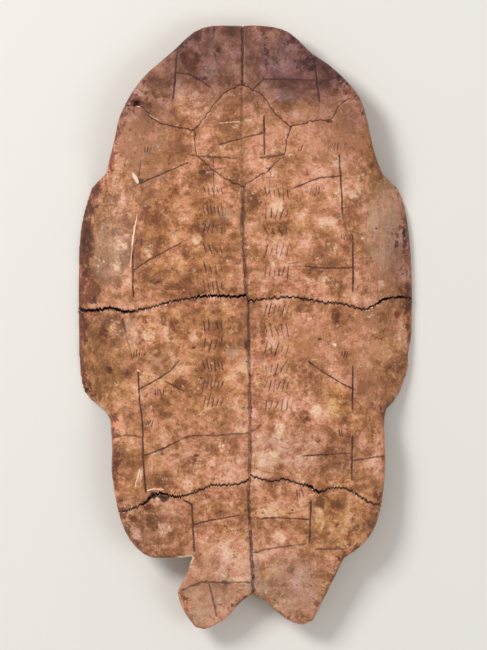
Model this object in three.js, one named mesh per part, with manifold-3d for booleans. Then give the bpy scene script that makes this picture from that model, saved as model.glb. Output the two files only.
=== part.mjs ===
// An inscribed turtle plastron, the belly shell of a pond turtle sawn free, planed inside and
// polished for divination. Nine bones meet at sutures. The outer face is up and the inner face,
// with its scorched hollows, is down. Millimetres, +Z up, +Y towards the front lip.
import * as THREE from "three";
import { mergeVertices } from "three/addons/utils/BufferGeometryUtils.js";
import Module from "manifold-3d";

const wasm = await Module();
wasm.setup();

// The whole plate
const PLASTRON_LENGTH = 241.6;
const SHARE = PLASTRON_LENGTH / 1000; // outlines are in thousandths of the length
const MIDDLE_THICKNESS = 6.2;
const RIM_THICKNESS = 3.6;
const RIM_ROUNDING = 2.0;

// How the plate bends down from its flat middle
const WING_DROP = 13.4;
const WING_FLAT_HALF_WIDTH = 42;
const WING_CURVE = 1.8;
const FRONT_DROP = 4.5;
const REAR_DROP = 3.5;
const LOBE_CURVE = 1.8;
const LOBE_SIDE_DROP_SHARE = 0.45; // a lobe's side bends down less than a wing

// The wings' lower edges are filed flat, and the plate lies on them
const FOOT_DEPTH = 2.0;
const CROWN_HEIGHT = WING_DROP + RIM_THICKNESS - FOOT_DEPTH;

// Sutures: the opening between two bones, and the teeth along it
const OPEN_SUTURE_GAP = 0.6;
const WORN_SUTURE_GAP = 1.0; // where the transverse suture has crumbled, near the left rim
const CLOSED_SUTURE_GAP = 0.32;
const OPEN_TOOTH = { pitch: 2.4, depth: 0.5 };
const CLOSED_TOOTH = { pitch: 5.0, depth: 0.28 };

// The hollows cut in the inner face, a chiselled slot with a drilled pit at its side
const SLOT_LENGTH = 14;
const SLOT_WIDTH = 5.6;
const SLOT_DEPTH = 3.4;
const PIT_DIAMETER = 7.2;
const PIT_DEPTH = 2.6;
const PIT_OVERLAP = 1.6; // how far the pit reaches into the slot

// Fineness of the mesh
const WING_STEP = 5;
const SLAB_STEP_ALONG = 9;
const OUTLINE_STEP = 4;
const RIM_STEPS = 4;
const HOLLOW_SIDES = 10;
const HOLLOW_RINGS = 6;
const BEYOND = 12; // how far the cutting solids reach past the plate
const KERF_OVERRUN = 0.25;

// The outline, counterclockwise from the front lip, in thousandths of the length. Stretches meet
// at corners.
const OUTLINE = {
  leftFrontLobe: [
    [-4, 499], [-63, 498], [-88, 487], [-118, 459], [-174, 408], [-208, 350], [-217, 310],
    [-232, 254],
  ],
  leftWing: [
    [-232, 254], [-259, 226], [-267, 199], [-275, 158], [-277, -21], [-269, -106],
    [-232, -139], [-224, -154],
  ],
  leftRearLobe: [
    [-224, -154], [-221, -197], [-221, -246], [-203, -329], [-183, -362], [-159, -380],
    [-131, -381], [-108, -382], [-87, -378],
  ],
  leftBreak: [[-87, -378], [-93, -386], [-94, -399], [-113, -437]],
  leftTail: [
    [-113, -437], [-106, -463], [-95, -480], [-88, -492], [-73, -500], [-32, -482],
    [-12, -458], [1, -447], [13, -442],
  ],
  rightTail: [
    [13, -442], [28, -450], [69, -484], [94, -492], [109, -487], [124, -460], [163, -381],
  ],
  rightRearLobe: [
    [163, -381], [185, -367], [205, -346], [220, -314], [231, -237], [230, -150], [233, -135],
  ],
  rightWing: [
    [233, -135], [250, -117], [271, -59], [269, -41], [275, -18], [272, 148], [256, 224],
    [228, 252],
  ],
  rightFrontLobe: [
    [228, 252], [216, 280], [193, 371], [175, 399], [132, 439], [112, 451], [67, 491],
    [11, 500], [-4, 499],
  ],
};

// The sutures, in the same thousandths. Lines that meet share their end points, and those that
// leave the plate end beyond its rim.
const SUTURES = {
  midlineFront: [[-4, 530], [-6, 401]],
  entoLeftFront: [[-6, 401], [-32, 389], [-84, 325]],
  entoLeftRear: [[-84, 325], [-80, 281], [-68, 274], [-55, 261], [-22, 239], [-3, 232]],
  entoRightRear: [
    [-3, 232], [24, 251], [39, 258], [46, 269], [64, 283], [67, 303], [75, 331],
  ],
  entoRightFront: [[75, 331], [49, 353], [28, 383], [-6, 401]],
  epiHyoLeft: [[-84, 325], [-140, 337], [-155, 346], [-174, 366], [-240, 355]],
  epiHyoRight: [
    [75, 331], [120, 342], [139, 341], [158, 370], [172, 377], [193, 376], [240, 378],
  ],
  midlineHyo: [[-3, 232], [-4, 161], [1, 54]],
  midlineStep: [[1, 54], [4, 43]],
  hyoHypoLeft: [
    [1, 54], [-14, 51], [-57, 52], [-110, 45], [-198, 25], [-221, 32], [-247, 28], [-310, 31],
  ],
  hyoHypoRight: [
    [4, 43], [72, 50], [119, 43], [165, 38], [198, 30], [231, 47], [263, 50], [278, 44],
    [310, 40],
  ],
  midlineHypo: [[4, 43], [9, -180], [8, -245]],
  hypoXiphiLeft: [
    [8, -245], [1, -254], [-39, -261], [-55, -260], [-72, -268], [-113, -280], [-141, -274],
    [-157, -280], [-164, -289], [-209, -307], [-260, -318],
  ],
  hypoXiphiRight: [
    [8, -245], [43, -254], [62, -250], [84, -257], [105, -262], [121, -272], [135, -266],
    [166, -266], [211, -292], [226, -291], [270, -289],
  ],
  midlineXiphi: [[8, -245], [5, -293], [13, -442], [14, -540]],
};

const OPEN_SUTURES = ["hyoHypoLeft", "hyoHypoRight", "hypoXiphiLeft", "hypoXiphiRight"];
const WORN_SUTURE_START = -150; // thousandths across, from here outwards
const WORN_SUTURE_FADE = 10;

// The bones, each by the lines round it. A minus sign walks a line backwards, and a pair of
// numbers is a corner beyond the rim.
const FAR_ACROSS = 330;
const FAR_ALONG = 560;
const BONES = {
  epiplastron_left: [
    "midlineFront", "entoLeftFront", "epiHyoLeft", [-FAR_ACROSS, 355],
    [-FAR_ACROSS, FAR_ALONG], [-4, FAR_ALONG],
  ],
  epiplastron_right: [
    "midlineFront", "-entoRightFront", "epiHyoRight", [FAR_ACROSS, 378],
    [FAR_ACROSS, FAR_ALONG], [-4, FAR_ALONG],
  ],
  entoplastron: ["entoLeftFront", "entoLeftRear", "entoRightRear", "entoRightFront"],
  hyoplastron_left: [
    "entoLeftRear", "midlineHyo", "hyoHypoLeft", [-FAR_ACROSS, 31],
    [-FAR_ACROSS, 355], "-epiHyoLeft",
  ],
  hyoplastron_right: [
    "entoRightRear", "epiHyoRight", [FAR_ACROSS, 378], [FAR_ACROSS, 40],
    "-hyoHypoRight", "-midlineStep", "-midlineHyo",
  ],
  hypoplastron_left: [
    "-hyoHypoLeft", "midlineStep", "midlineHypo", "hypoXiphiLeft",
    [-FAR_ACROSS, -318], [-FAR_ACROSS, 31],
  ],
  hypoplastron_right: [
    "hyoHypoRight", [FAR_ACROSS, 40], [FAR_ACROSS, -289], "-hypoXiphiRight",
    "-midlineHypo",
  ],
  xiphiplastron_left: [
    "-hypoXiphiLeft", "midlineXiphi", [14, -FAR_ALONG], [-FAR_ACROSS, -FAR_ALONG],
    [-FAR_ACROSS, -318],
  ],
  xiphiplastron_right: [
    "hypoXiphiRight", [FAR_ACROSS, -289], [FAR_ACROSS, -FAR_ALONG],
    [14, -FAR_ALONG], "-midlineXiphi",
  ],
};

// The hollows: the slot's middle, and +1 or -1 for a pit on its right or its left, which is the
// side towards the midline
const HOLLOWS = [
  [-116, 413, 1], [120, 406, -1], [32, 318, -1],
  [-177, 247, 1], [159, 241, -1], [-185, 98, 1], [178, 100, -1],
  [-175, -104, 1], [178, -101, -1], [-168, -217, 1], [177, -215, -1],
  [-86, -329, 1], [108, -321, -1],
];

// Chips lost from the outer face. Each is at a place in thousandths, and turned in degrees.
const CHIPS = [
  { at: [-180, 370.5], length: 3.6, width: 2.2, depth: 3.2, turn: -8 },
  { at: [-175, 239], length: 1.7, width: 1.2, depth: 9, turn: 35 },
];

const PATINA = 0xb07a58;
const ROUGHNESS = 0.55;

const clamp01 = (value) => Math.min(1, Math.max(0, value));
const smooth = (value) => clamp01(value) ** 2 * (3 - 2 * clamp01(value));
const millimetres = ([across, along]) => new THREE.Vector2(across * SHARE, along * SHARE);

// A closed three.js mesh as a solid that can be joined and cut.
function solid(geometry) {
  const bare = geometry.index ? geometry.toNonIndexed() : geometry.clone();
  bare.deleteAttribute("normal");
  bare.deleteAttribute("uv");
  const merged = mergeVertices(bare, 1e-4);
  return new wasm.Manifold(
    new wasm.Mesh({
      numProp: 3,
      vertProperties: new Float32Array(merged.attributes.position.array),
      triVerts: new Uint32Array(merged.index.array),
    }),
  );
}

function geometryOf(body) {
  const { vertProperties, triVerts } = body.getMesh();
  const geometry = new THREE.BufferGeometry();
  geometry.setAttribute("position", new THREE.BufferAttribute(vertProperties, 3));
  geometry.setIndex(new THREE.BufferAttribute(triVerts, 1));
  geometry.computeVertexNormals();
  return geometry;
}

// An upright prism over an outline, taller than the plate.
function prism(points, holes = []) {
  const shape = new THREE.Shape(points);
  shape.holes = holes.map((hole) => new THREE.Path(hole));
  const depth = CROWN_HEIGHT + 2 * BEYOND;
  const geometry = new THREE.ExtrudeGeometry(shape, { depth, bevelEnabled: false });
  return solid(geometry.translate(0, 0, -BEYOND));
}

// The bend of the plate. bend() is 0 in the flat middle and 1 at the wings' rims.
const WING_MIDDLE = 45 * SHARE;
const WING_HALF_LENGTH = 175 * SHARE;
const WING_FADE = 75 * SHARE;
const WING_TIP = 277 * SHARE;
const WING_TAPER = 22 * SHARE;
const FRONT_START = 300 * SHARE;
const REAR_START = -290 * SHARE;
const LIP = 500 * SHARE;

function wingBend(x, y) {
  const along = Math.abs(y - WING_MIDDLE) / WING_HALF_LENGTH;
  const rim = WING_TIP - WING_TAPER * Math.min(1, along ** 4);
  return Math.max(0, (Math.abs(x) - WING_FLAT_HALF_WIDTH) / (rim - WING_FLAT_HALF_WIDTH));
}

function lobeBend(y) {
  const front = (y - FRONT_START) / (LIP - FRONT_START);
  const rear = (REAR_START - y) / (REAR_START + LIP);
  return { front: Math.max(0, front), rear: Math.max(0, rear) };
}

function outerHeight(x, y) {
  const beyondWing = (Math.abs(y - WING_MIDDLE) - WING_HALF_LENGTH) / WING_FADE;
  const strength = 1 - (1 - LOBE_SIDE_DROP_SHARE) * smooth(beyondWing);
  const { front, rear } = lobeBend(y);
  return (
    CROWN_HEIGHT -
    WING_DROP * strength * wingBend(x, y) ** WING_CURVE -
    FRONT_DROP * front ** LOBE_CURVE -
    REAR_DROP * rear ** LOBE_CURVE
  );
}

function thickness(x, y) {
  const { front, rear } = lobeBend(y);
  const thinning = smooth(Math.max(wingBend(x, y), 0.7 * front, 0.7 * rear));
  return MIDDLE_THICKNESS + (RIM_THICKNESS - MIDDLE_THICKNESS) * thinning;
}

const innerHeight = (x, y) => outerHeight(x, y) - thickness(x, y);

// The curved slab that the whole plate is cut from. The flat middle is one column wide, and
// each wing has steps of its own.
function boneSlab() {
  const halfWidth = WING_TIP + BEYOND / 2;
  const wingWidth = halfWidth - WING_FLAT_HALF_WIDTH;
  const wingSteps = Math.max(1, Math.round(wingWidth / WING_STEP));
  const across = 2 * wingSteps + 1;
  const length = PLASTRON_LENGTH + BEYOND;
  const along = Math.round(length / SLAB_STEP_ALONG);
  const geometry = new THREE.BoxGeometry(across, length, 1, across, along, 1);
  const places = geometry.attributes.position;
  for (let i = 0; i < places.count; i += 1) {
    const outward = (Math.abs(places.getX(i)) - 0.5) / wingSteps;
    const x = Math.sign(places.getX(i)) * (WING_FLAT_HALF_WIDTH + wingWidth * outward);
    const y = places.getY(i);
    const z = places.getZ(i) > 0 ? outerHeight(x, y) : innerHeight(x, y);
    places.setXYZ(i, x, y, z);
  }
  return solid(geometry);
}

function outlinePoints() {
  return Object.values(OUTLINE).flatMap((stretch) => {
    const points = stretch.map(millimetres).map(({ x, y }) => new THREE.Vector3(x, y, 0));
    const curve = new THREE.CatmullRomCurve3(points, false, "centripetal");
    const steps = Math.max(2, Math.round(curve.getLength() / OUTLINE_STEP));
    return curve.getSpacedPoints(steps).slice(0, -1).map(({ x, y }) => new THREE.Vector2(x, y));
  });
}

// A solid with the plate's outline whose wall follows the bend of the plate and rounds its rim.
function rimEnvelope() {
  const outline = outlinePoints();
  const count = outline.length;
  const inward = outline.map((point, i) => {
    const next = outline[(i + 1) % count];
    const previous = outline[(i + count - 1) % count];
    const along = next.clone().sub(previous).normalize();
    return new THREE.Vector2(-along.y, along.x);
  });
  const ring = (inset, height) =>
    outline.map((point, i) => {
      const { x, y } = point.clone().addScaledVector(inward[i], inset);
      return new THREE.Vector3(x, y, height(x, y));
    });
  const rings = [ring(RIM_ROUNDING, () => -BEYOND)];
  for (let step = 0; step <= RIM_STEPS; step += 1) {
    const angle = Math.PI * (step / RIM_STEPS - 0.5);
    const reach = 0.5 * Math.sin(angle) * 1.05;
    const height = (x, y) => outerHeight(x, y) - thickness(x, y) * (0.5 - reach);
    rings.push(ring(RIM_ROUNDING * (1 - Math.cos(angle)), height));
  }
  rings.push(ring(RIM_ROUNDING, () => CROWN_HEIGHT + BEYOND));
  return loft(rings);
}

// Rings of points, one above the other, as a closed solid.
function loft(rings) {
  const count = rings[0].length;
  const places = rings.flat().flatMap(({ x, y, z }) => [x, y, z]);
  const faces = [];
  for (let level = 0; level + 1 < rings.length; level += 1) {
    for (let i = 0; i < count; i += 1) {
      const [a, b] = [level * count + i, level * count + ((i + 1) % count)];
      faces.push(a, b, b + count, a, b + count, a + count);
    }
  }
  const flat = rings[0].map(({ x, y }) => new THREE.Vector2(x, y));
  const top = (rings.length - 1) * count;
  for (const [a, b, c] of THREE.ShapeUtils.triangulateShape(flat, [])) {
    faces.push(c, b, a, top + a, top + b, top + c);
  }
  const geometry = new THREE.BufferGeometry();
  geometry.setAttribute("position", new THREE.Float32BufferAttribute(places, 3));
  geometry.setIndex(faces);
  return solid(geometry);
}

// A suture's line with its teeth. The ends stay where they are, so that lines meet.
function toothedLine(name) {
  const { pitch, depth } = OPEN_SUTURES.includes(name) ? OPEN_TOOTH : CLOSED_TOOTH;
  const points = SUTURES[name].map(millimetres).map(({ x, y }) => new THREE.Vector3(x, y, 0));
  const curve = new THREE.CatmullRomCurve3(points, false, "centripetal");
  const steps = Math.max(2, Math.round((2 * curve.getLength()) / pitch));
  return curve.getSpacedPoints(steps).map((point, i) => {
    const inside = i > 0 && i < steps;
    const along = curve.getTangentAt(i / steps);
    const unevenness = 0.6 + 0.4 * Math.sin(2.3 * i) * Math.sin(0.9 * i + 1);
    const shift = inside ? (i % 2 ? 0.5 : -0.5) * depth * unevenness : 0;
    return new THREE.Vector2(point.x - along.y * shift, point.y + along.x * shift);
  });
}

const LINES = Object.fromEntries(
  Object.keys(SUTURES).map((name) => [name, toothedLine(name)]),
);

// Half the opening of a suture at a point on it.
function halfGap(name, { x }) {
  if (!OPEN_SUTURES.includes(name)) return CLOSED_SUTURE_GAP / 2;
  const pastWear = (WORN_SUTURE_START * SHARE - x) / WORN_SUTURE_FADE;
  const wear = name === "hyoHypoLeft" ? smooth(pastWear) : 0;
  return (OPEN_SUTURE_GAP + (WORN_SUTURE_GAP - OPEN_SUTURE_GAP) * wear) / 2;
}

// A line moved sideways, to its left, by the distance that reach gives at each point.
function offset(points, reach, closed = false) {
  const last = points.length - 1;
  return points.map((point, i) => {
    const before = closed ? points[(i + last) % (last + 1)] : points[Math.max(i - 1, 0)];
    const after = closed ? points[(i + 1) % (last + 1)] : points[Math.min(i + 1, last)];
    const along = after.clone().sub(before).normalize();
    const distance = reach(point);
    return new THREE.Vector2(point.x - along.y * distance, point.y + along.x * distance);
  });
}

const counterclockwise = (loop) => (THREE.ShapeUtils.isClockWise(loop) ? loop.reverse() : loop);

// The kerf of one suture, between two walls on either side of its line.
function kerf(name) {
  const line = LINES[name].map((point) => point.clone());
  const last = line.length - 1;
  const overrun = (end, inside) =>
    end.add(end.clone().sub(inside).normalize().multiplyScalar(KERF_OVERRUN));
  overrun(line[0], line[1]);
  overrun(line[last], line[last - 1]);
  const left = offset(line, (point) => halfGap(name, point));
  const right = offset(line, (point) => -halfGap(name, point));
  return prism(counterclockwise([...left, ...right.reverse()]));
}

// The kerf round the entoplastron is a ring.
function entoKerf() {
  const loop = counterclockwise(BONES.entoplastron.flatMap((name) => LINES[name].slice(0, -1)));
  const inside = offset(loop, () => CLOSED_SUTURE_GAP / 2, true);
  const outside = offset(loop, () => -CLOSED_SUTURE_GAP / 2, true);
  return prism(outside, [inside]);
}

// The loop of lines and corners round one bone.
function boneLoop(pieces) {
  const loop = pieces.flatMap((piece) => {
    if (Array.isArray(piece)) return [millimetres(piece)];
    const line = LINES[piece.replace("-", "")];
    return piece.startsWith("-") ? [...line].reverse() : line;
  });
  return loop.filter((point, i) => point.distanceTo(loop[(i + 1) % loop.length]) > 1e-6);
}

const joined = (bodies) => bodies.reduce((whole, body) => whole.add(body));

function ellipsoid(x, y, z, length, width, depth, turn = 0) {
  const ball = new THREE.SphereGeometry(1, HOLLOW_SIDES, HOLLOW_RINGS).rotateX(Math.PI / 2);
  ball.scale(width / 2, length / 2, depth);
  return solid(ball.rotateZ(THREE.MathUtils.degToRad(turn)).translate(x, y, z));
}

function hollow([across, along, side]) {
  const { x, y } = millimetres([across, along]);
  const pitX = x + side * (SLOT_WIDTH / 2 + PIT_DIAMETER / 2 - PIT_OVERLAP);
  const slot = ellipsoid(x, y, innerHeight(x, y), SLOT_LENGTH, SLOT_WIDTH, SLOT_DEPTH);
  const pit = ellipsoid(pitX, y, innerHeight(pitX, y), PIT_DIAMETER, PIT_DIAMETER, PIT_DEPTH);
  return slot.add(pit);
}

function chip({ at, length, width, depth, turn }) {
  const { x, y } = millimetres(at);
  return ellipsoid(x, y, outerHeight(x, y), width, length, depth, turn);
}

// The plate before the sutures part it: slab, rounded rim, filed feet, hollows and chips.
function wholePlate() {
  const size = 2 * PLASTRON_LENGTH;
  const ground = new THREE.BoxGeometry(size, size, BEYOND).translate(0, 0, -BEYOND / 2);
  const losses = joined([...HOLLOWS.map(hollow), ...CHIPS.map(chip)]);
  return boneSlab().intersect(rimEnvelope()).subtract(solid(ground)).subtract(losses);
}

const plate = wholePlate();
const kerfs = joined([
  entoKerf(),
  ...Object.keys(SUTURES).filter((name) => !name.startsWith("ento")).map(kerf),
]);

const plastron = new THREE.Group();
for (const [name, pieces] of Object.entries(BONES)) {
  const loop = boneLoop(pieces);
  const bone = plate.intersect(prism(counterclockwise(loop))).subtract(kerfs);
  const material = new THREE.MeshStandardMaterial({
    color: PATINA,
    roughness: ROUGHNESS,
    metalness: 0,
  });
  const mesh = new THREE.Mesh(geometryOf(bone), material);
  mesh.name = name;
  plastron.add(mesh);
}

// The origin is under the middle of the plate, on the surface it lies on.
const box = new THREE.Box3().setFromObject(plastron);
const middle = box.getCenter(new THREE.Vector3());
plastron.position.set(-middle.x, -middle.y, -box.min.z);

export default plastron;
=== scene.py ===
import math
import random

import bmesh
import bpy
import numpy as np
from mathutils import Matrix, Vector
from mathutils.bvhtree import BVHTree
from mathutils.kdtree import KDTree


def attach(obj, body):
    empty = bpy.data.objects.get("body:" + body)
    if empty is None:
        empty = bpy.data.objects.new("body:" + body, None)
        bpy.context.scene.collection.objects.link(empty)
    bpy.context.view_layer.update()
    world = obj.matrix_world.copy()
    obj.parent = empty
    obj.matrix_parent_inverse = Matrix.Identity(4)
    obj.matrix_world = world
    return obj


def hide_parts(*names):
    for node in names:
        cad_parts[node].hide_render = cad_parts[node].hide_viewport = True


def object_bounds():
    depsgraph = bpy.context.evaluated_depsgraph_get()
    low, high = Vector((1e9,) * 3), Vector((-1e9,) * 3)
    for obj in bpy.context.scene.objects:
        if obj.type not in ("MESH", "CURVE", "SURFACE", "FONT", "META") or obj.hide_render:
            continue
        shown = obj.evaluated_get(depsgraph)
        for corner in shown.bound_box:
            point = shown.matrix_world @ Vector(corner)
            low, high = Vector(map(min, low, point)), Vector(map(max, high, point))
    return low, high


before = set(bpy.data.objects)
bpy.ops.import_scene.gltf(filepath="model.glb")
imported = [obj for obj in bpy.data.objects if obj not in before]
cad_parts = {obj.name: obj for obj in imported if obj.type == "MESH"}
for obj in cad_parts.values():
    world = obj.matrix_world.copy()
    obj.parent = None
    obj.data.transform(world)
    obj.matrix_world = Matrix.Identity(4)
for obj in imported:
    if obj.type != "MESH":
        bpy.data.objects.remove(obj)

# The camera stands straight above the plate, as the photograph looks straight at it, with the
# front lip at the top of the picture. It has a long lens, as a museum's copy stand has.
plate_low, plate_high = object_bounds()
share = (plate_high.y - plate_low.y) / 1000  # places on the plate are in thousandths of its length
mm = 0.001
camera_distance = 3.0
picture_height = 1073.5 * share
picture_centre = (-3.0 * share, 3.6 * share)
sensor_height = 24.0

camera_data = bpy.data.cameras.new("camera")
camera_data.sensor_fit = "VERTICAL"
camera_data.sensor_height = sensor_height
camera_data.lens = sensor_height * camera_distance / picture_height
camera = bpy.data.objects.new("camera", camera_data)
camera.location = (*picture_centre, plate_high.z + camera_distance)
bpy.context.scene.collection.objects.link(camera)
bpy.context.scene.camera = camera


# The scute seams are the shallow furrows that the horny scutes left on the outer face. They cross
# the bones, and the widest runs down the midline over the suture.
class Mark:
    """A line worn or cut into the outer face. Places are in thousandths, sizes in millimetres."""

    def __init__(self, points, width, depth, soil=1.0, chalk=0.0, wander=0.0):
        self.points = np.array(points, float)
        self.width = width
        self.depth = depth
        self.soil = soil
        self.chalk = chalk
        self.wander = wander


seam_lines = [
    [(-225, -184), (-198, -178), (-170, -181)],
    [(-108, -187), (-95, -180), (-55, -179), (8, -175), (27, -162)],
    [(175, -222), (205, -216), (233, -213)],
    [(-108, -436), (-71, -422), (8, -422)],
    [(-60, -423), (-53, -451), (-47, -477)],
    [(10, -374), (38, -366), (101, -358)],
    [(114, -367), (168, -366)],
    [(-80, 282), (-32, 280), (-11, 279)],
    [(23, 279), (65, 286)],
]
pale_seams = [[(33, 413), (51, 434), (79, 459)], [(-41, 395), (-75, 416)]]
midline = [  # points, width in millimetres and how much soil lies there
    ([(-4, 503), (-5, 401)], 1.0, 0.9),
    ([(-5, 401), (-5, 320), (-3, 232)], 1.8, 0.25),
    ([(-3, 236), (-4, 161), (2, 50)], 2.6, 0.65),
    ([(5, 50), (8, -178), (6, -268)], 1.9, 0.6),
    ([(4, -268), (6, -290), (9, -340), (13, -446)], 1.7, 0.7),
    ([(9, -336), (9, -341)], 1.3, 1.0),
    ([(9, -350), (10, -357)], 1.3, 1.0),
    ([(11, -366), (11, -369)], 1.2, 1.0),
    ([(11, -386), (12, -398)], 1.6, 1.0),
    ([(13, -408), (13, -416)], 1.4, 1.0),
    ([(2, -22), (3, -34)], 2.6, 0.9),
]
marks = [Mark(line, width=1.1, depth=0.14, soil=0.72, wander=0.5) for line in seam_lines]
marks += [Mark(line, width=1.1, depth=0.12, soil=0.15, wander=0.5) for line in pale_seams]
marks += [Mark(line, width, depth=0.28, soil=soil, wander=0.4) for line, width, soil in midline]

# The divination cracks opened opposite the heated hollows. Each has an upright trunk and a branch
# towards the midline, and most were cut deeper with a point, which left a narrow dark groove.
trunks = [
    [(-113, 451), (-115, 419), (-119, 376)],
    [(-186, 128), (-185, 48)],
    [(-177, -73), (-175, -119), (-170, -155), (-169, -181), (-169, -213), (-164, -275)],
    [(-103, -285), (-88, -293), (-86, -336), (-84, -372)],
    [(31, 350), (32, 284)],
    [(115, 443), (119, 403), (123, 372)],
    [(155, 286), (160, 211), (160, 186)],
    [(178, 142), (178, 58)],
    [(178, -63), (177, -137)],
    [(177, -179), (176, -254)],
    [(109, -286), (106, -356)],
]
branches = [
    [(-117, 421), (-92, 418), (-75, 409), (-57, 396)],
    [(-177, 236), (-93, 272)],
    [(-188, 92), (-155, 113), (-104, 140)],
    [(-179, -104), (-146, -87), (-125, -73), (-108, -54)],
    [(-134, -89), (-100, -106)],
    [(-171, -214), (-141, -203), (-108, -187)],
    [(-89, -327), (-58, -319), (-9, -311)],
    [(34, 322), (-5, 312), (-45, 301)],
    [(121, 408), (66, 409), (31, 410), (11, 391)],
    [(117, 401), (145, 411), (160, 414)],
    [(160, 250), (120, 246), (76, 228)],
    [(181, 98), (134, 97), (98, 101)],
    [(180, -104), (132, -77), (104, -56)],
    [(179, -208), (93, -213)],
    [(110, -318), (56, -315), (28, -316)],
]
fine_cracks = [
    [(-204, 14), (-193, -29), (-184, -59)],
    [(160, 186), (167, 161), (178, 136)],
    [(-52, 279), (-52, 211)],
    [(-66, 260), (-32, 263)],
    [(42, 258), (39, 218)],
    [(36, 247), (48, 247)],
    [(40, 367), (59, 379)],
    [(-50, 496), (-52, 476)],
    [(-32, -339), (5, -333)],
    [(-172, 277), (-176, 245)],
    [(69, 104), (91, 108)],
    [(-203, 12), (-196, -12)],
    [(-72, 256), (-34, 263)],
]
marks += [Mark(line, width=1.0, depth=0.32, soil=1.0, wander=0.2) for line in trunks]
marks += [Mark(line, width=0.85, depth=0.26, soil=0.9, wander=0.25) for line in branches]
marks += [Mark(line, width=0.6, depth=0.14, soil=0.6, wander=0.3) for line in fine_cracks]

# The rows of cut strokes stand where the plate is inscribed, in a column on each side of the
# midline and in small groups by the cracks. Each is a shallow groove from one push of a point.
chance = random.Random(7)


def strokes(across, along, width, height, count):
    """A few slanted strokes side by side that never cross."""
    lean = chance.choice((-0.25, 0.25))
    for i in range(count):
        x = across + width * ((i + 0.5) / count - 0.5)
        slant = (lean + chance.uniform(-0.2, 0.2)) * width / count
        reach = 0.5 * height * chance.uniform(0.4, 1.0)
        middle = along + chance.uniform(-0.1, 0.1) * height
        ends = [(x - slant, middle - reach), (x + slant, middle + reach)]
        cut_width = chance.uniform(0.55, 0.8)
        dirt = chance.uniform(0.6, 1.0)
        yield Mark(ends, cut_width, depth=0.2, soil=dirt, wander=0.15)


inscribed_columns = [
    {"across": -53, "width": 36, "top": 226, "bottom": -146},
    {"across": 52, "width": 44, "top": 222, "bottom": -140},
]
row_pitch = 30
row_height = 0.8 * row_pitch
middle_suture = 48  # no row stands across it
for column in inscribed_columns:
    along = column["top"]
    while along > column["bottom"]:
        if abs(along - middle_suture) > 0.5 * row_pitch:
            count = chance.randint(4, 6)
            marks += strokes(column["across"], along, column["width"], row_height, count)
        along -= row_pitch * chance.uniform(0.95, 1.15)

group_stroke_pitch = 4.5
group_height = 14
group_places = [  # across, along and how many strokes
    (-161, 293, 3), (-176, 142, 3), (-175, -45, 5), (19, 367, 2), (146, 299, 4), (168, 149, 5),
    (91, 295, 2), (115, 226, 4), (164, -45, 3), (-158, -158, 3), (-142, -107, 4), (158, -175, 2),
    (-63, -278, 2), (90, -274, 3), (-50, -198, 3),
]
for across, along, count in group_places:
    marks += strokes(across, along, group_stroke_pitch * count, group_height, count)

# Old damage on the outer face: knocks and chipped edges that show fresh pale bone, pale lines
# beside some cracks that are partly painted highlight on their lit edges, and the small pits that
# roots and blood vessels left.
pale_scars = [  # points and width
    ([(-179, 189), (-183, 160)], 0.55),
    ([(-183, 169), (-185, 150), (-188, 134)], 0.9),
    ([(-187, 136), (-190, 98)], 0.45),
    ([(-186, 254), (-178, 239)], 1.6),
    ([(-44, 337), (-8, 340)], 0.3),
    ([(-98, -386), (-95, -392)], 1.2),
    ([(-178, -71), (-176, -73)], 0.9),
    ([(147, -28), (149, -30)], 1.2),
    ([(-163, -270), (-152, -267), (-134, -268)], 0.5),
    ([(-174, -233), (-178, -250), (-183, -266)], 0.4),
]
chipped_edges = [
    [(-160, 351), (-150, 345), (-139, 340)],
    [(-190, 368), (-172, 363)],
    [(103, -279), (115, -274)],
    [(-1, 341), (10, 342)],
]
marks += [Mark(line, width, depth=0.1, chalk=1, soil=0, wander=0.3) for line, width in pale_scars]
marks += [
    Mark(line, width=0.9, depth=0.15, chalk=0.5, soil=0, wander=0.5) for line in chipped_edges
]
lost_flake = [(-155, -278), (-144, -280), (-131, -283)]
marks.append(Mark(lost_flake, width=3.4, depth=0.9, soil=1.0, wander=0.8))
dark_pits = [  # across, along, length and width
    (123, -20, 3, 1.4), (3, -57, 2, 1.1), (-85, -34, 3, 1.2), (-73, -84, 1, 0.9),
    (15, -112, 1, 0.8), (-263, -104, 2, 1.6), (26, 206, 1, 1.6), (-71, 256, 6, 2.3),
    (139, 340, 4, 2.2), (152, 9, 2, 1.2),
    (-90, -115, 1, 0.8), (-181, 371, 10, 3.2), (-174, 241, 4, 3.2), (217, 163, 1, 1.0),
    (181, -311, 1, 0.8), (78, -302, 2, 0.9), (-64, -420, 2, 1.1), (-41, -305, 3, 1.0),
    (-80, -212, 6, 1.3), (190, -68, 1, 0.5), (107, -290, 1, 1.3),
]
for across, along, length, width in dark_pits:
    ends = [(across - 0.5 * length, along), (across + 0.5 * length, along)]
    marks.append(Mark(ends, width, depth=0.25, soil=0.9))
small_pits = 60
for i in range(small_pits):
    across = chance.uniform(-250, 250)
    along = chance.uniform(-480, 480)
    ends = [(across, along), (across + 1, along)]
    marks.append(Mark(ends, chance.uniform(0.3, 0.6), depth=0.12, soil=0.5))

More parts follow.
